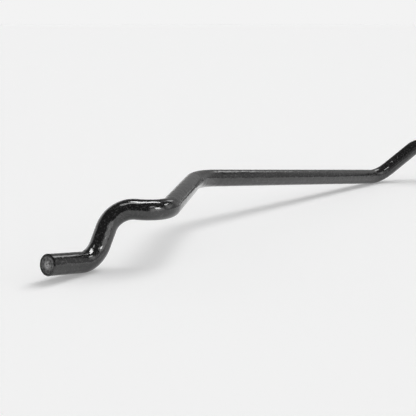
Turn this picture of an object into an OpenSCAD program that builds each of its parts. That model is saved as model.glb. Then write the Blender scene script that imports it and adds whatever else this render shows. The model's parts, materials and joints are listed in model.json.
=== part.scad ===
// Vehicle sway bar: one round tube bent into a centre section with a
// stepped arm at each side, closed by a plug at each end.
// X runs along the centre section, Y points from the arm tips towards it,
// and Z is up. The bar lies at rest on two bends of each arm, at Z = 0.

/* [Tube] */
// Outside diameter of the tube
bar_d = 16; // [12:0.5:24]
// Wall thickness of the tube
wall_t = 3; // [2:0.5:4]
// Radius of the tight bends, to the middle of the tube
bend_r = 21; // [16:1:40]
// Radius of the wide bend between the two parts of the arm
arm_bend_r = 80; // [20:5:150]
// Radius of the bend that the back of the arm rests on
rest_bend_r = 50; // [20:5:100]
// How far a bend draws the tube thinner, all round
bend_draw = 0.02; // [0.01:0.01:0.1]
// Bevel round each end of the tube
end_bevel = 0.5; // [0.2:0.1:0.8]

/* [Straight lengths between bends] */
// Straight of the centre section
centre_len = 460; // [200:5:900]
// Straight of the riser between the centre section and the long arm
riser_len = 38.5; // [5:0.5:90]
// Straight of the long part of the arm
long_arm_len = 276; // [150:5:500]
// Straight of the front part of the arm
front_arm_len = 118; // [60:1:250]
// Straight of the short crossing piece
cross_len = 2.5; // [0.5:0.5:40]
// Straight of the step down to the end stub
step_len = 13; // [2:0.5:40]
// Straight of the end stub
stub_len = 34; // [20:1:90]

/* [Directions in plan, turned from the centre section] */
// Direction of the riser
riser_turn = 37.5; // [15:0.5:60]
// Direction of the long part of the arm
long_arm_turn = 56; // [45:1:80]
// Direction of the front part of the arm
front_arm_turn = 90; // [70:1:100]
// Direction of the step and the end stub
stub_turn = 60; // [40:1:80]

/* [Slopes] */
// Climb of the riser
riser_climb = 30; // [15:1:50]
// Fall of the crossing piece, towards the front part of the arm
cross_fall = 3; // [0:0.5:8]
// Climb of the step
step_climb = 59; // [35:1:75]
// Fall of the end stub, from its face to the first bend
stub_fall = 8; // [1:0.5:15]

/* [End plugs] */
// Length of the plug's shank inside the tube
plug_shank_len = 12; // [6:1:25]
// Thickness of the plug's head
plug_head_t = 2.5; // [1.5:0.5:5]
// Thickness of the tube's rim around the plug's head
rim_t = 1; // [0.6:0.1:1.5]
// Depth of the head's face below the tube's end
head_recess = 0.2; // [0.1:0.1:0.6]
// Bevel round the head and at the shank's inner end
plug_bevel = 0.3; // [0.1:0.1:0.4]

/* [Stop rings] */
// Straight kept free for a bush, between each ring and the bend beside it
bush_seat_len = 56; // [20:1:80]
// Width of a ring along the bar
ring_w = 9; // [5:0.5:16]
// Thickness of the band that a ring is made of
ring_t = 2; // [1.2:0.2:4]
// Bevel on a ring's outer edges
ring_bevel = 0.5; // [0.2:0.1:0.6]
// Gap between the two ends of the band, as an angle round the bar
ring_gap = 14; // [6:1:40]

/* [Hidden] */
$fn = 64;

bar_r = bar_d / 2;
bore_r = bar_r - wall_t;
head_r = bar_r - rim_t;
// Depth of the seat that the plug's head sits in
seat_depth = plug_head_t + head_recess;
// How far a straight runs into the bends next to it
overlap = 0.05;
black_paint = [0.06, 0.06, 0.065];
bare_steel = [0.3, 0.3, 0.31];
zinc_steel = [0.55, 0.56, 0.57];

// Unit vector from a direction in plan and a climb, both in degrees
function heading(turn, climb) = [cos(climb) * cos(turn), cos(climb) * sin(turn), sin(climb)];

// Headings of the straights, from the end stub to the centre section
function headings(long_fall) = [
    heading(stub_turn, -stub_fall),
    heading(stub_turn, step_climb),
    heading(0, -cross_fall),
    heading(front_arm_turn, 0),
    heading(long_arm_turn, -long_fall),
    heading(riser_turn, riser_climb),
    heading(0, 0)
];
straights = [stub_len, step_len, cross_len, front_arm_len, long_arm_len, riser_len, centre_len];
radii = [bend_r, bend_r, bend_r, arm_bend_r, rest_bend_r, bend_r];
FIRST_BEND = 0;
REST_BEND = 4;
LAST_BEND = 5;

// Angle of a bend, and the way from its start towards its centre
function bend_angle(dirs, i) = acos(dirs[i] * dirs[i + 1]);
function inward(dirs, i) =
    (dirs[i + 1] - dirs[i] * cos(bend_angle(dirs, i))) / sin(bend_angle(dirs, i));

// Change of place over a straight, and over a part of a bend
function along_straight(dirs, i) = dirs[i] * straights[i];
function along_bend(dirs, i, angle) =
    radii[i] * (dirs[i] * sin(angle) + inward(dirs, i) * (1 - cos(angle)));

// Where straight i starts, measured from the face of the end stub
function straight_start(dirs, i) =
    i == 0 ? [0, 0, 0] : bend_start(dirs, i - 1) + along_bend(dirs, i - 1, bend_angle(dirs, i - 1));
function bend_start(dirs, i) = straight_start(dirs, i) + along_straight(dirs, i);

// Height of the lowest point of a bend that turns from falling to climbing
function bend_low(dirs, i) =
    let (angle = atan2(-dirs[i][2], inward(dirs, i)[2]))
    bend_start(dirs, i)[2] + along_bend(dirs, i, angle)[2];

// Fall of the long arm that lays the bend at its end on the same level as
// the first bend, found by a few corrections
function level_fall(fall, steps) =
    let (
        dirs = headings(fall),
        rise = bend_low(dirs, REST_BEND) - bend_low(dirs, FIRST_BEND)
    )
    steps == 0 ? fall : level_fall(fall + asin(rise / long_arm_len), steps - 1);

dirs = headings(level_fall(6, 6));
// End of the last bend, where the centre section begins
arm_end = straight_start(dirs, LAST_BEND + 1);

// The face of the stub is the front of the bar, and the stop rings are its back
face_slope = sqrt(1 - pow(dirs[0][1], 2));
front_y = min(dirs[0][1] * end_bevel - bar_r * face_slope, -(bar_r - end_bevel) * face_slope);
back_y = arm_end[1] + bar_r + ring_t;

// Place of the left stub's face, with the origin under the middle of the bar
tip = [
    -centre_len / 2 - arm_end[0],
    -(front_y + back_y) / 2,
    bar_r - bend_draw - bend_low(dirs, FIRST_BEND)
];
centre_y = tip[1] + arm_end[1];
centre_z = tip[2] + arm_end[2];

// Sets children down with their own x, y and z axes along three unit vectors
module place(x, y, z, origin) {
    multmatrix([
        [x[0], y[0], z[0], origin[0]],
        [x[1], y[1], z[1], origin[1]],
        [x[2], y[2], z[2], origin[2]],
        [0, 0, 0, 1]
    ])
        children();
}

// Sets children down at the start of straight i of the left arm, with z along it
module at_straight(i) {
    side = cross([0, 0, 1], dirs[i]) / norm(cross([0, 0, 1], dirs[i]));
    place(side, cross(dirs[i], side), dirs[i], tip + straight_start(dirs, i))
        children();
}

// Bend i of the left arm, as a solid round rod
module bent_rod(i, r) {
    centre = tip + bend_start(dirs, i) + inward(dirs, i) * radii[i];
    place(-inward(dirs, i), dirs[i], cross(dirs[i], inward(dirs, i)), centre)
        rotate_extrude(angle = bend_angle(dirs, i), $fn = 96)
            translate([radii[i], 0])
                circle(r = r);
}

// The left arm as a solid round rod, from the stub to the centre section
module arm_rod(r) {
    for (i = [FIRST_BEND : LAST_BEND]) {
        run_in = i == FIRST_BEND ? 0 : overlap;
        at_straight(i)
            translate([0, 0, -run_in])
                cylinder(h = straights[i] + run_in + overlap, r = r);
        bent_rod(i, r - bend_draw);
    }
}

// The whole route of the bar as a solid round rod
module bar_rod(r) {
    both_sides()
        arm_rod(r);
    translate([-centre_len / 2 - overlap, centre_y, centre_z])
        rotate([0, 90, 0])
            cylinder(h = centre_len + 2 * overlap, r = r);
}

module both_sides() {
    children();
    mirror([1, 0, 0])
        children();
}

// Ring that is cut away to bevel the end of the tube
module bevel_cut() {
    rotate_extrude()
        polygon([
            [bar_r - end_bevel, -1],
            [bar_r + 1, -1],
            [bar_r + 1, end_bevel],
            [bar_r, end_bevel],
            [bar_r - end_bevel, 0]
        ]);
}

// Seat for the head of a plug
module head_seat() {
    translate([0, 0, -1])
        cylinder(h = seat_depth + 1, r = head_r);
}

module bar_tube() {
    color(black_paint)
        difference() {
            bar_rod(bar_r);
            bar_rod(bore_r);
            both_sides()
                at_straight(0) {
                    bevel_cut();
                    head_seat();
                }
        }
}

// Plug at the end of the left arm: a head on a shank, both beveled
module end_plug() {
    shank_end = seat_depth + plug_shank_len;
    at_straight(0)
        rotate_extrude()
            polygon([
                [0, head_recess],
                [head_r - plug_bevel, head_recess],
                [head_r, head_recess + plug_bevel],
                [head_r, seat_depth],
                [bore_r, seat_depth],
                [bore_r, shank_end - plug_bevel],
                [bore_r - plug_bevel, shank_end],
                [0, shank_end]
            ]);
}

module left_end_plug() {
    color(bare_steel)
        end_plug();
}

module right_end_plug() {
    color(bare_steel)
        mirror([1, 0, 0])
            end_plug();
}

// Flat band bent round the centre section, with its gap below
module stop_ring() {
    outer_r = bar_r + ring_t;
    translate([-centre_len / 2 + bush_seat_len, centre_y, centre_z])
        rotate([0, 90, 0])
            rotate([0, 0, ring_gap / 2])
                rotate_extrude(angle = 360 - ring_gap)
                    polygon([
                        [bar_r, 0],
                        [outer_r - ring_bevel, 0],
                        [outer_r, ring_bevel],
                        [outer_r, ring_w - ring_bevel],
                        [outer_r - ring_bevel, ring_w],
                        [bar_r, ring_w]
                    ]);
}

module left_stop_ring() {
    color(zinc_steel)
        stop_ring();
}

module right_stop_ring() {
    color(zinc_steel)
        mirror([1, 0, 0])
            stop_ring();
}

bar_tube();
left_end_plug();
right_end_plug();
left_stop_ring();
right_stop_ring();
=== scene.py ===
import json
from math import acos, atan2, cos, pi, radians, sin, tan

import bmesh
import bpy
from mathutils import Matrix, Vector, noise


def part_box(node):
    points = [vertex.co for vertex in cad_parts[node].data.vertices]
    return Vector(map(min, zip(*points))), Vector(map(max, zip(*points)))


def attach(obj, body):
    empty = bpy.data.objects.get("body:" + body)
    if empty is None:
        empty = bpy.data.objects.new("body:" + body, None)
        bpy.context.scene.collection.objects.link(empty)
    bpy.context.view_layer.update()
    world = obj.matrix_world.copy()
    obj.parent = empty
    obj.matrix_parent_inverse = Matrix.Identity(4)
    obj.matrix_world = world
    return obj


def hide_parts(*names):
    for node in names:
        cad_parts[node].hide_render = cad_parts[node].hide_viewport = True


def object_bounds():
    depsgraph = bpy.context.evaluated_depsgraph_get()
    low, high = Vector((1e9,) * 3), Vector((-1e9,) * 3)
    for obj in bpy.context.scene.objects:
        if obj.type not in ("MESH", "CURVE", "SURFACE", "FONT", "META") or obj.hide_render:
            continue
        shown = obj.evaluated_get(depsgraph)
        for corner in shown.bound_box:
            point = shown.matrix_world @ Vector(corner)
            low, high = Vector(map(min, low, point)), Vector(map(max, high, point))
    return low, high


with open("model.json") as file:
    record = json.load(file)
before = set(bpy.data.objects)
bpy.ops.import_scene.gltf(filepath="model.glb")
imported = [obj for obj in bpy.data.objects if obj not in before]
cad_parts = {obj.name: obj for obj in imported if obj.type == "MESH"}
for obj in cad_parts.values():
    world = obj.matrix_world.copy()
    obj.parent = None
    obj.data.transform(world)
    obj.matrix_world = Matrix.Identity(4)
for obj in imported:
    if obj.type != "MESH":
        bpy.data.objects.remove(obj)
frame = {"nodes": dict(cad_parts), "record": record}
cadLow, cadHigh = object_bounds()
mounts = {mount["name"]: Vector(mount["pos_m"]) for mount in frame["record"]["mounts"]}
print("frame loaded:", ", ".join(sorted(frame["nodes"])))


# One output socket of a node tree. Arithmetic on it adds Math nodes.
class Wire:
    def __init__(self, tree, socket=None):
        self.tree = tree
        self.socket = socket

    def node(self, kind, settings=None, values=None, output=0):
        # any other node: its settings first, then its sockets' values or links
        made = self.tree.nodes.new(kind)
        for name, setting in (settings or {}).items():
            setattr(made, name, setting)
        for name, value in (values or {}).items():
            if isinstance(value, Wire):
                self.tree.links.new(value.socket, made.inputs[name])
            else:
                made.inputs[name].default_value = value
        return Wire(self.tree, made.outputs[output] if len(made.outputs) else None)

    def take(self, name):
        # another output of the same node
        return Wire(self.tree, self.socket.node.outputs[name])

    def maths(self, operation, *values):
        return self.node("ShaderNodeMath", {"operation": operation}, dict(enumerate(values)))

    def __add__(self, other):
        return self.maths("ADD", self, other)

    def __radd__(self, other):
        return self.maths("ADD", other, self)

    def __sub__(self, other):
        return self.maths("SUBTRACT", self, other)

    def __rsub__(self, other):
        return self.maths("SUBTRACT", other, self)

    def __mul__(self, other):
        return self.maths("MULTIPLY", self, other)

    def __rmul__(self, other):
        return self.maths("MULTIPLY", other, self)

    def __truediv__(self, other):
        return self.maths("DIVIDE", self, other)

    def __rtruediv__(self, other):
        return self.maths("DIVIDE", other, self)

    def smooth(self, low, high, start=0.0, end=1.0):
        # from start at low to end at high, with soft corners
        return self.node("ShaderNodeMapRange", {"interpolation_type": "SMOOTHSTEP"}, {
            "Value": self, "From Min": low, "From Max": high, "To Min": start, "To Max": end})

    def spread(self, contrast, start=0.0, end=1.0):
        # noise lies close to 0.5, so this takes that much on both sides of it
        return self.smooth(0.5 - contrast, 0.5 + contrast, start, end)

    def blend(self, first, second):
        # this wire as the share of the second colour
        return self.node("ShaderNodeMix", {"data_type": "RGBA"}, {0: self, 6: first, 7: second}, 2)

    def speckle(self, width, detail):
        # noise over these coordinates, with spots of about that width
        return self.node("ShaderNodeTexNoise", {}, {
            "Vector": self, "Scale": 1 / width, "Detail": detail})

    def bump(self):
        # this wire as the height of the surface, in metres
        return self.node("ShaderNodeBump", {}, {"Height": self, "Strength": 1.0, "Distance": 1.0})

    def surface(self, values):
        made = self.node("ShaderNodeBsdfPrincipled", {}, values)
        self.node("ShaderNodeOutputMaterial", {}, {"Surface": made})


def grey(value):
    return (value, value, value, 1)


def newMaterial(name):
    # an empty material, its tree and the object coordinates
    made = bpy.data.materials.new(name)
    made.use_nodes = True
    made.node_tree.nodes.clear()
    tree = Wire(made.node_tree)
    return made, tree, tree.node("ShaderNodeTexCoord", output="Object")


def newObject(name, mesh):
    made = bpy.data.objects.new(name, mesh)
    bpy.context.scene.collection.objects.link(made)
    return made


camera = {
    "place": (-0.33899, -0.91767, 0.18092),
    "turn": 7.26,       # degrees to the left of +Y
    "tilt": 10.67,      # degrees below the horizon
    "lens": 84.55,
    "sensor": 36.0,
    "nearest": 0.01,
    "furthest": 2000,
}


def placeCamera(c):
    data = bpy.data.cameras.new("camera")
    data.lens = c["lens"]
    data.sensor_width = c["sensor"]
    data.clip_start = c["nearest"]
    data.clip_end = c["furthest"]
    holder = newObject("camera", data)
    holder.location = c["place"]
    holder.rotation_euler = (radians(90 - c["tilt"]), 0, radians(c["turn"]))
    bpy.context.scene.camera = holder


placeCamera(camera)
bpy.context.scene.view_settings.view_transform = "Standard"
print("camera placed")


studio = {
    "floorSize": 400.0,
    "floorGrey": 0.8,
    "floorUneven": 0.005,
    "floorGrain": 0.0025,
    "floorGlow": 0.245,     # evens out the light over the floor
    "backdrop": 0.896,      # what shows above the horizon
    # lights for the floor: where from, seen from the bar, angular size, strength
    "keyFrom": (0.384, 0.730, 1.0),
    "keyAngle": 38.0,
    "keyStrength": 1.55,
    "fillFrom": (0, 0, 1),
    "fillAngle": 170.0,
    "fillStrength": 0.66,
    # what the lacquer mirrors: a dim room with paler walls. Each wall has its
    # turn from the camera's side (90 is right), half width, soft edge, the
    # heights where it starts and ends, all in degrees, and its brightness
    "roomDim": 0.09,
    "wallFadeBelow": 8,
    "wallFadeAbove": 12,
    "walls": (
        (60, 20, 25, -5, 20, 0.25),
        (-134, 15, 20, -5, 26, 0.80),
        (180, 35, 25, -5, 26, 0.22),
        (110, 20, 25, -5, 26, 0.30),
        (150, 5, 7, 35, 39, 2.40),
        (94, 6, 6, 20, 32, 0.70),
    ),
    # soft boxes that only the lacquer mirrors: centre to the camera's right,
    # ahead and up, size, turn in plan or None to face the stub, and brightness
    "boxes": (
        ("stripBox", (-0.425, 0.015, 0.65), (0.44, 0.19), 27, 10.0),
        ("leftBox", (-1.30, -0.62, 3.0), (1.0, 0.7), 0, 3.0),
        ("bendBox", (0.30, 0.06, 0.75), (0.20, 0.20), 0, 7.0),
        ("sideBox", (0.304, -0.822, 0.629), (0.25, 0.29), None, 9.0),
        ("sideTop", (0.022, -0.816, 0.895), (0.30, 0.14), None, 3.0),
        ("rightCard", (0.21, -0.82, 0.24), (0.80, 0.58), None, 1.15),
    ),
}


def makeFloor(s):
    half = s["floorSize"] / 2
    z = cadLow.z
    corners = [(-half, -half, z), (half, -half, z), (half, half, z), (-half, half, z)]
    mesh = bpy.data.meshes.new("floor")
    mesh.from_pydata(corners, [], [(0, 1, 2, 3)])
    floor = newObject("floor", mesh)
    paper, tree, coords = newMaterial("palePaper")
    shade = coords.speckle(s["floorGrain"], 2.0).blend(
        grey(s["floorGrey"] * (1 - s["floorUneven"])),
        grey(s["floorGrey"] * (1 + s["floorUneven"])))
    tree.surface({
        "Base Color": shade, "Roughness": 1.0, "Specular IOR Level": 0.0,
        "Emission Color": grey(1), "Emission Strength": s["floorGlow"]})
    mesh.materials.append(paper)


def makeRoom(s, c):
    # the room is a world shader, a function of the direction alone
    world = bpy.data.worlds.new("studio")
    world.use_nodes = True
    world.node_tree.nodes.clear()
    bpy.context.scene.world = world
    tree = Wire(world.node_tree)
    direction = tree.node("ShaderNodeTexCoord", output="Generated")
    turned = tree.node("ShaderNodeVectorRotate", {"rotation_type": "Z_AXIS"}, {
        "Vector": direction, "Angle": radians(-c["turn"])})
    right = tree.node("ShaderNodeSeparateXYZ", {}, {0: turned})
    ahead, up = right.take("Y"), right.take("Z")
    rise = up.maths("ARCSINE", up) * (180 / pi)
    level = up.maths("SQRT", 1.0001 - up * up)      # length in plan, never zero
    glow = s["roomDim"]
    for turn, half, edge, low, high, bright in s["walls"]:
        facing = (right * sin(radians(turn)) - ahead * cos(radians(turn))) / level
        across = facing.smooth(cos(radians(half + edge)), cos(radians(half)))
        above = rise.smooth(low - s["wallFadeBelow"], low)
        below = rise.smooth(high, high + s["wallFadeAbove"], 1, 0)
        glow = across * above * below * bright + glow
    seen = tree.node("ShaderNodeLightPath", output="Is Camera Ray")
    lit = tree.node("ShaderNodeBackground", {}, {"Color": grey(1), "Strength": glow})
    plain = tree.node("ShaderNodeBackground", {}, {"Color": grey(s["backdrop"]), "Strength": 1.0})
    both = tree.node("ShaderNodeMixShader", {}, {0: seen, 1: lit, 2: plain})
    tree.node("ShaderNodeOutputWorld", {}, {"Surface": both})


def roomTurned(c, right, ahead, up):
    # a place given to the camera's right and ahead, as x, y and z
    turn = radians(c["turn"])
    x = right * cos(turn) - ahead * sin(turn)
    y = right * sin(turn) + ahead * cos(turn)
    return Vector((x, y, up))


def addLight(name, kind, way):
    # a light that shines from the side that way points to
    light = bpy.data.lights.new(name, kind)
    holder = newObject(name, light)
    holder.rotation_euler = Vector(way).to_track_quat("Z", "Y").to_euler()
    holder.visible_camera = False
    return light, holder


def lightStudio(s, c):
    for name in ("key", "fill"):
        light, holder = addLight(name, "SUN", s[name + "From"])
        light.angle = radians(s[name + "Angle"])
        light.energy = s[name + "Strength"]
        holder.visible_glossy = False
    for name, place, (width, depth), turn, bright in s["boxes"]:
        place = roomTurned(c, *place)
        light, holder = addLight(name, "AREA", place - mounts["left_stub"])
        light.shape = "RECTANGLE"
        light.size, light.size_y = width, depth
        light.energy = bright * pi * width * depth
        holder.location = place
        if turn is not None:
            holder.rotation_euler = (0, 0, radians(c["turn"] + turn))
        holder.visible_diffuse = False


makeFloor(studio)
makeRoom(studio, camera)
lightStudio(studio, camera)
print("floor and light ready")


# widths and depths in metres, as in the other finishes
lacquer = {
    "dark": 0.006,
    "light": 0.016,
    "contrast": 0.14,
    "draw": 0.0022,         # width of the drawing marks, which run along the tube
    "drawStretch": 7.0,
    "drawDepth": 0.00013,
    "peel": 0.0060,         # width of a wave of the lacquer
    "peelDepth": 0.00030,
    "grain": 0.0007,        # width of the fine grain on it
    "grainDepth": 0.00004,
    "cloud": 0.012,         # width of a paler patch
    "fleck": 0.0017,        # width of the paler flecks
    "fleckFrom": 0.54,      # the noise where a fleck starts, and where it is full
    "fleckFull": 0.68,
    "fleckGrey": 0.055,
    "roughLow": 0.04,
    "roughHigh": 0.12,
    "roughContrast": 0.15,
    "ior": 1.75,
}


def makeLacquer(m):
    made, tree, coords = newMaterial("blackLacquer")
    across = tree.node("ShaderNodeAttribute", {"attribute_name": "across"}, output="Vector")
    parts = tree.node("ShaderNodeSeparateXYZ", {}, {0: across})
    along = tree.node("ShaderNodeAttribute", {"attribute_name": "along"}, output="Fac")
    skin = tree.node("ShaderNodeCombineXYZ", {}, {
        "X": parts, "Y": parts.take("Y"), "Z": along / m["drawStretch"]})
    draw = skin.speckle(m["draw"], 1.5)
    peel = coords.speckle(m["peel"], 1.0)
    grain = coords.speckle(m["grain"], 1.0)
    cloud = coords.speckle(m["cloud"], 3.0)
    fleck = coords.speckle(m["fleck"], 2.0)
    tone = (0.5 * cloud + 0.5 * grain).spread(m["contrast"])
    colour = tone.blend(grey(m["dark"]), grey(m["light"]))
    colour = fleck.smooth(m["fleckFrom"], m["fleckFull"]).blend(colour, grey(m["fleckGrey"]))
    height = draw * m["drawDepth"] + peel * m["peelDepth"] + grain * m["grainDepth"]
    tree.surface({
        "Base Color": colour,
        "Roughness": cloud.spread(m["roughContrast"], m["roughLow"], m["roughHigh"]),
        "IOR": m["ior"],
        "Normal": height.bump()})
    return made


plugFinish = {
    "dark": 0.022,
    "light": 0.190,
    "contrast": 0.12,
    "middle": 0.62,         # the paler middle of the face
    "middleSize": 0.45,     # its share of the face's radius
    "middleFade": 0.45,
    "shadeRimFrom": 0.86,       # share of the radius where the painted shade round the face's rim starts
    "shadeRimGrey": 0.011,
    "mottle": 0.0019,
    "mottleDepth": 0.00035,
    "grain": 0.0006,
    "grainDepth": 0.00010,
    "roughLow": 0.32,
    "roughHigh": 0.55,
}


def makePlugFinish(m):
    made, tree, coords = newMaterial("plugPaint")
    mottle = coords.speckle(m["mottle"], 3.0)
    grain = coords.speckle(m["grain"], 2.0)
    outward = tree.node("ShaderNodeAttribute", {"attribute_name": "outward"}, output="Fac")
    patch = (0.6 * mottle + 0.4 * grain).spread(m["contrast"])
    middle = (outward + 0.5 * mottle).smooth(
        m["middleSize"], m["middleSize"] + m["middleFade"], 1, 0)
    colour = patch.blend(grey(m["dark"]), grey(m["light"]))
    colour = (middle * patch).blend(colour, grey(m["middle"]))
    # painted shade: the face darkens towards its rim, where it meets the tube
    colour = outward.smooth(m["shadeRimFrom"], 1.0).blend(colour, grey(m["shadeRimGrey"]))
    height = mottle * m["mottleDepth"] + grain * m["grainDepth"]
    tree.surface({
        "Base Color": colour,
        "Roughness": patch.smooth(0, 1, m["roughLow"], m["roughHigh"]),
        "Normal": height.bump()})
    return made


zinc = {
    "dull": (0.42, 0.43, 0.45, 1),
    "clean": (0.66, 0.67, 0.68, 1),
    "contrast": 0.14,
    "cloud": 0.004,
    "cloudDepth": 0.0002,
    "lines": 0.00018,       # spacing of the rolling marks round the band
    "lineLength": 1 / 60,
    "lineDepth": 0.00002,
    "roughLow": 0.24,
    "roughHigh": 0.42,
}


def makeZinc(m):
    made, tree, coords = newMaterial("zincPlate")
    stretched = tree.node("ShaderNodeMapping", {}, {
        "Vector": coords, "Scale": (1 / m["lines"], 1 / m["lineLength"], 1 / m["lineLength"])})
    cloud = coords.speckle(m["cloud"], 4.0)
    lines = stretched.speckle(1.0, 2.0)
    patch = (0.6 * cloud + 0.4 * lines).spread(m["contrast"])
    height = lines * m["lineDepth"] + cloud * m["cloudDepth"]
    tree.surface({
        "Base Color": patch.blend(m["dull"], m["clean"]),
        "Metallic": 1.0,
        "Roughness": patch.smooth(0, 1, m["roughHigh"], m["roughLow"]),
        "Normal": height.bump()})
    return made


blackLacquer = makeLacquer(lacquer)
plugPaint = makePlugFinish(plugFinish)
zincPlate = makeZinc(zinc)
print("materials ready")


def smoothFaces(shape, limit=32):
    # smooth faces that point outwards, with the edges sharper than the limit,
    # in degrees, kept crisp
    bmesh.ops.recalc_face_normals(shape, faces=shape.faces)
    for patch in shape.faces:
        patch.smooth = True
        patch.material_index = 0
    for edge in shape.edges:
        edge.smooth = not (edge.is_manifold and edge.calc_face_angle(0) > radians(limit))


def newPiece(shape, name, finish):
    # the built shape as an object with its finish
    smoothFaces(shape)
    mesh = bpy.data.meshes.new(name)
    shape.to_mesh(mesh)
    shape.free()
    mesh.materials.append(finish)
    return newObject(name, mesh)


bar = {
    "radius": 0.008,
    "bore": 0.005,
    "bendDraw": 0.00002,    # how much thinner a bend is drawn
    # from the end of the arm: length, direction in plan, climb, bend after it
    "arm": (
        (0.034, 60, -8, 0.021),
        (0.013, 60, 59, 0.021),
        (0.0025, 0, -3, 0.021),
        (0.118, 90, 0, 0.080),
        (0.276, 56, -6.37, 0.050),
        (0.0385, 37.5, 30, 0.021),
    ),
    "centre": 0.460,
    "bevel": 0.0005,
    # depth and radius of the rings of points that round the end's outer edge
    "rim": ((0.00022, 0.00770), (0.00003, 0.00740), (0.0, 0.00725)),
    "seatRadius": 0.007,
    "seatDepth": 0.0027,
    "seatEdge": 0.00005,
    "sides": 64,
    "bendPoints": 28,
    "guard": 0.0008,        # extra ring on each straight, beside its bends
}


def heading(turn, climb):
    t, c = radians(turn), radians(climb)
    return Vector((cos(c) * cos(t), cos(c) * sin(t), sin(c)))


def mirrored(place):
    return Vector((-place.x, place.y, place.z))


def routeOfArm(b):
    # points with the bend radius and the thickness there, from the end of the
    # left arm to the centre section, then the end's place and direction
    ways = [heading(turn, climb) for _, turn, climb, _ in b["arm"]] + [heading(0, 0)]
    drawn = 1 - b["bendDraw"] / b["radius"]
    at = Vector((0, 0, 0))
    points = [(ways[0] * b["bevel"], 0, 1)]
    for i, (length, _, _, bend) in enumerate(b["arm"]):
        way, after = ways[i], ways[i + 1]
        if i:
            points.append((at + way * b["guard"], 0, 1))
        points.append((at + way * (length - b["guard"]), 0, 1))
        reach = bend * tan(acos(way.dot(after)) / 2)
        corner = at + way * (length + reach)
        points.append((corner, bend, drawn))
        at = corner + after * reach
    points.append((at + ways[-1] * b["guard"], 0, 1))
    seat = mounts["left_bush_seat"]
    shift = Vector((-b["centre"] / 2, seat.y, seat.z)) - at
    return [(place + shift, bend, thick) for place, bend, thick in points], shift, ways[0]


def tubeTree():
    # sweeps a round tube and its bore along a line with rounded corners, and
    # stores the way along the tube and across it for the lacquer
    tree = bpy.data.node_groups.new("tubeAlongRoute", "GeometryNodeTree")
    face = tree.interface
    face.new_socket("Geometry", in_out="INPUT", socket_type="NodeSocketGeometry")
    for name, kind in (("Tube radius", "Float"), ("Bore radius", "Float"), ("Sides", "Int"),
                       ("Bend points", "Int"), ("Finish", "Material")):
        face.new_socket(name, in_out="INPUT", socket_type="NodeSocket" + kind)
    face.new_socket("Geometry", in_out="OUTPUT", socket_type="NodeSocketGeometry")
    given = Wire(tree).node("NodeGroupInput")
    bend = given.node("GeometryNodeInputNamedAttribute", {"data_type": "FLOAT"}, {
        "Name": "bendRadius"})
    thick = given.node("GeometryNodeInputNamedAttribute", {"data_type": "FLOAT"}, {
        "Name": "thickness"})
    line = given.node("GeometryNodeMeshToCurve", {}, {"Mesh": given.take("Geometry")})
    line = given.node("GeometryNodeFilletCurve", {"mode": "POLY"}, {
        "Curve": line,
        "Count": bend.maths("GREATER_THAN", bend, 0.0) * given.take("Bend points"),
        "Radius": bend,
        "Limit Radius": False})
    line = given.node("GeometryNodeStoreNamedAttribute", {"data_type": "FLOAT"}, {
        "Geometry": line, "Name": "along",
        "Value": given.node("GeometryNodeSplineParameter", output="Length")})
    skins = []
    for radius in ("Tube radius", "Bore radius"):
        ring = given.node("GeometryNodeCurvePrimitiveCircle", {"mode": "RADIUS"}, {
            "Resolution": given.take("Sides"), "Radius": given.take(radius)})
        ring = given.node("GeometryNodeStoreNamedAttribute", {"data_type": "FLOAT_VECTOR"}, {
            "Geometry": ring, "Name": "across",
            "Value": given.node("GeometryNodeInputPosition")})
        skins.append(given.node("GeometryNodeCurveToMesh", {}, {
            "Curve": line, "Profile Curve": ring, "Scale": thick, "Fill Caps": False}))
    joined = given.node("GeometryNodeJoinGeometry")
    for skin in skins:
        tree.links.new(skin.socket, joined.socket.node.inputs[0])
    real = given.node("GeometryNodeRealizeInstances", {}, {"Geometry": joined})
    done = given.node("GeometryNodeSetMaterial", {}, {
        "Geometry": real, "Material": given.take("Finish")})
    given.node("NodeGroupOutput", {}, {"Geometry": done})
    return tree


def setInput(modifier, name, value):
    for item in modifier.node_group.interface.items_tree:
        if item.name == name and item.in_out == "INPUT":
            modifier[item.identifier] = value


def plainMesh(source, name):
    # the evaluated modifiers as a plain mesh object
    shown = source.evaluated_get(bpy.context.evaluated_depsgraph_get())
    made = newObject(name, bpy.data.meshes.new_from_object(shown))
    bpy.data.objects.remove(source)
    return made


def finishEnd(shape, tip, way, b):
    # closes the tube's wall at one end, with a bevel and the plug's seat
    side = way.cross(Vector((0, 0, 1))).normalized()
    other = way.cross(side)
    depthSlack, radiusSlack = 1e-5, 2e-4

    def outOf(vert):
        # the way from the tube's axis to the point
        out = vert.co - tip
        return out - way * out.dot(way)

    def around(vert):
        out = vert.co - tip
        return atan2(out.dot(other), out.dot(side))

    def ringOf(radius):
        found = [vert for vert in shape.verts if vert.is_boundary
                 and abs((vert.co - tip).dot(way) - b["bevel"]) < depthSlack
                 and abs(outOf(vert).length - radius) < radiusSlack]
        return sorted(found, key=around)

    outer, inner = ringOf(b["radius"]), ringOf(b["bore"])
    steps = b["rim"] + ((0.0, b["seatRadius"] + b["seatEdge"]),
                        (b["seatEdge"], b["seatRadius"]),
                        (b["seatDepth"], b["seatRadius"]))
    rings = [outer]
    for depth, radius in steps:
        rings.append([
            shape.verts.new(tip + way * depth + outOf(vert).normalized() * radius, vert)
            for vert in outer])
    for vert in inner:
        vert.co += way * (b["seatDepth"] - b["bevel"])
    rings.append(inner)
    for ring, following in zip(rings, rings[1:]):
        for i in range(len(ring)):
            k = (i + 1) % len(ring)
            shape.faces.new((ring[i], ring[k], following[k], following[i]))


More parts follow.
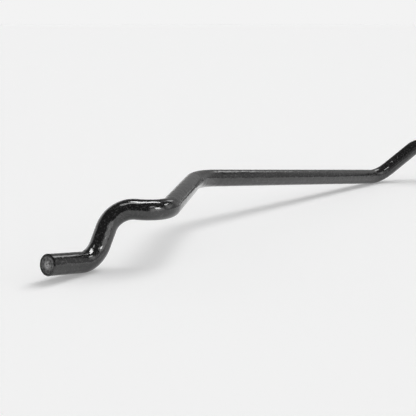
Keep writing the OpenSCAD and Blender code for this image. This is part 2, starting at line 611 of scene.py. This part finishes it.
def makeBar(b):
    left, tip, way = routeOfArm(b)
    route = left + [(mirrored(place), bend, thick) for place, bend, thick in reversed(left)]
    mesh = bpy.data.meshes.new("route")
    mesh.from_pydata([place for place, _, _ in route],
                     [(i, i + 1) for i in range(len(route) - 1)], [])
    for name, column in (("bendRadius", 1), ("thickness", 2)):
        layer = mesh.attributes.new(name, "FLOAT", "POINT")
        layer.data.foreach_set("value", [point[column] for point in route])
    source = newObject("route", mesh)
    modifier = source.modifiers.new("tube", "NODES")
    modifier.node_group = tubeTree()
    for name, value in (("Tube radius", b["radius"]), ("Bore radius", b["bore"]),
                        ("Sides", b["sides"]), ("Bend points", b["bendPoints"]),
                        ("Finish", blackLacquer)):
        setInput(modifier, name, value)
    made = plainMesh(source, "barTube")
    shape = bmesh.new()
    shape.from_mesh(made.data)
    finishEnd(shape, tip, way, b)
    finishEnd(shape, mirrored(tip), mirrored(way), b)
    smoothFaces(shape)
    shape.to_mesh(made.data)
    shape.free()
    made.data.materials.clear()
    made.data.materials.append(blackLacquer)
    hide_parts("bar_tube")
    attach(made, "root")
    print("bar ready:", len(made.data.polygons), "faces")


makeBar(bar)


plug = {
    "recess": 0.0002,       # the face below the tube's end
    "headRadius": 0.007,
    "headDepth": 0.0027,
    "shankRadius": 0.005,
    "shankEnd": 0.0147,
    "bevel": 0.0003,
    "soft": 0.00009,        # rounding in the middle of the head's bevel
    "dish": 0.00012,        # hollow of the face's middle
    "dent": 0.00007,        # uneven face
    "dentSize": 0.0021,
    "dentPlace": 7,         # which part of the noise the dents come from
    "smallDents": 2.7,      # how much smaller the second dents are
    "smallDentShare": 0.3,
    "faceRings": 16,
    "sides": 72,
}


def makePlug(name, node, tip, way, p):
    # a round face with dents, then the head and the shank behind it
    side = way.cross(Vector((0, 0, 1))).normalized()
    other = way.cross(side)
    faceRadius = p["headRadius"] - p["bevel"]
    profile = [(p["recess"], faceRadius * i / p["faceRings"], True)
               for i in range(1, p["faceRings"] + 1)]
    profile += [(depth, radius, False) for depth, radius in (
        (p["recess"] + p["soft"], p["headRadius"] - p["soft"]),
        (p["recess"] + p["bevel"], p["headRadius"]),
        (p["headDepth"], p["headRadius"]),
        (p["headDepth"], p["shankRadius"]),
        (p["shankEnd"] - p["bevel"], p["shankRadius"]),
        (p["shankEnd"], p["shankRadius"] - p["bevel"]))]

    def dented(depth, radius, out):
        share = radius / faceRadius
        spot = out * (radius / p["dentSize"]) + Vector((0, 0, p["dentPlace"]))
        wave = (0.5 + 0.5 * noise.noise(spot)
                + p["smallDentShare"] * noise.noise(spot * p["smallDents"]))
        dent = max(0, wave) * p["dent"] * (1 - share ** 6)
        return depth + (1 - share ** 2) * p["dish"] + dent

    shape = bmesh.new()
    outward = shape.verts.layers.float.new("outward")
    middle = shape.verts.new(tip + way * dented(p["recess"], 0, side))
    rings = []
    count = p["sides"]
    for depth, radius, onFace in profile:
        ring = []
        for k in range(count):
            turn = 2 * pi * k / count
            out = side * cos(turn) + other * sin(turn)
            deep = dented(depth, radius, out) if onFace else depth
            vert = shape.verts.new(tip + way * deep + out * radius)
            vert[outward] = min(1.0, radius / faceRadius) if onFace else 1.0
            ring.append(vert)
        rings.append(ring)
    for k in range(count):
        shape.faces.new((middle, rings[0][k], rings[0][(k + 1) % count]))
    for ring, following in zip(rings, rings[1:]):
        for k in range(count):
            m = (k + 1) % count
            shape.faces.new((ring[k], following[k], following[m], ring[m]))
    shape.faces.new(rings[-1])
    made = newPiece(shape, name, plugPaint)
    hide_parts(node)
    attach(made, "root")


tipPlace, tipWay = routeOfArm(bar)[1:]
makePlug("leftEndPlug", "left_end_plug", tipPlace, tipWay, plug)
makePlug("rightEndPlug", "right_end_plug", mirrored(tipPlace), mirrored(tipWay), plug)
print("end plugs ready")


ring = {
    "gap": 14.0,            # degrees open below
    "edge": 0.0005,         # rounding of the outer edges
    "soft": 0.00015,        # how far the rounding's middle stays from the corner
    "innerEdge": 0.0002,
    "steps": 120,
}


def makeRing(name, node, r):
    # a flat band bent round the bar, with rounded edges
    low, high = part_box(node)
    seat = mounts["left_bush_seat"]
    outer, inner = (high.y - low.y) / 2, bar["radius"]
    e, s, n = r["edge"], r["soft"], r["innerEdge"]
    section = [(low.x + n, inner), (low.x, inner + n),
               (low.x, outer - e), (low.x + s, outer - s), (low.x + e, outer),
               (high.x - e, outer), (high.x - s, outer - s), (high.x, outer - e),
               (high.x, inner + n), (high.x - n, inner)]
    shape = bmesh.new()
    rows = []
    for k in range(r["steps"] + 1):
        turn = radians(-90 + r["gap"] / 2 + (360 - r["gap"]) * k / r["steps"])
        rows.append([
            shape.verts.new((x, seat.y + radius * cos(turn), seat.z + radius * sin(turn)))
            for x, radius in section])
    for row, following in zip(rows, rows[1:]):
        for i in range(len(section)):
            k = (i + 1) % len(section)
            shape.faces.new((row[i], row[k], following[k], following[i]))
    shape.faces.new(rows[0])
    shape.faces.new(rows[-1])
    made = newPiece(shape, name, zincPlate)
    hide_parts(node)
    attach(made, "root")


makeRing("leftStopRing", "left_stop_ring", ring)
makeRing("rightStopRing", "right_stop_ring", ring)
print("stop rings ready")
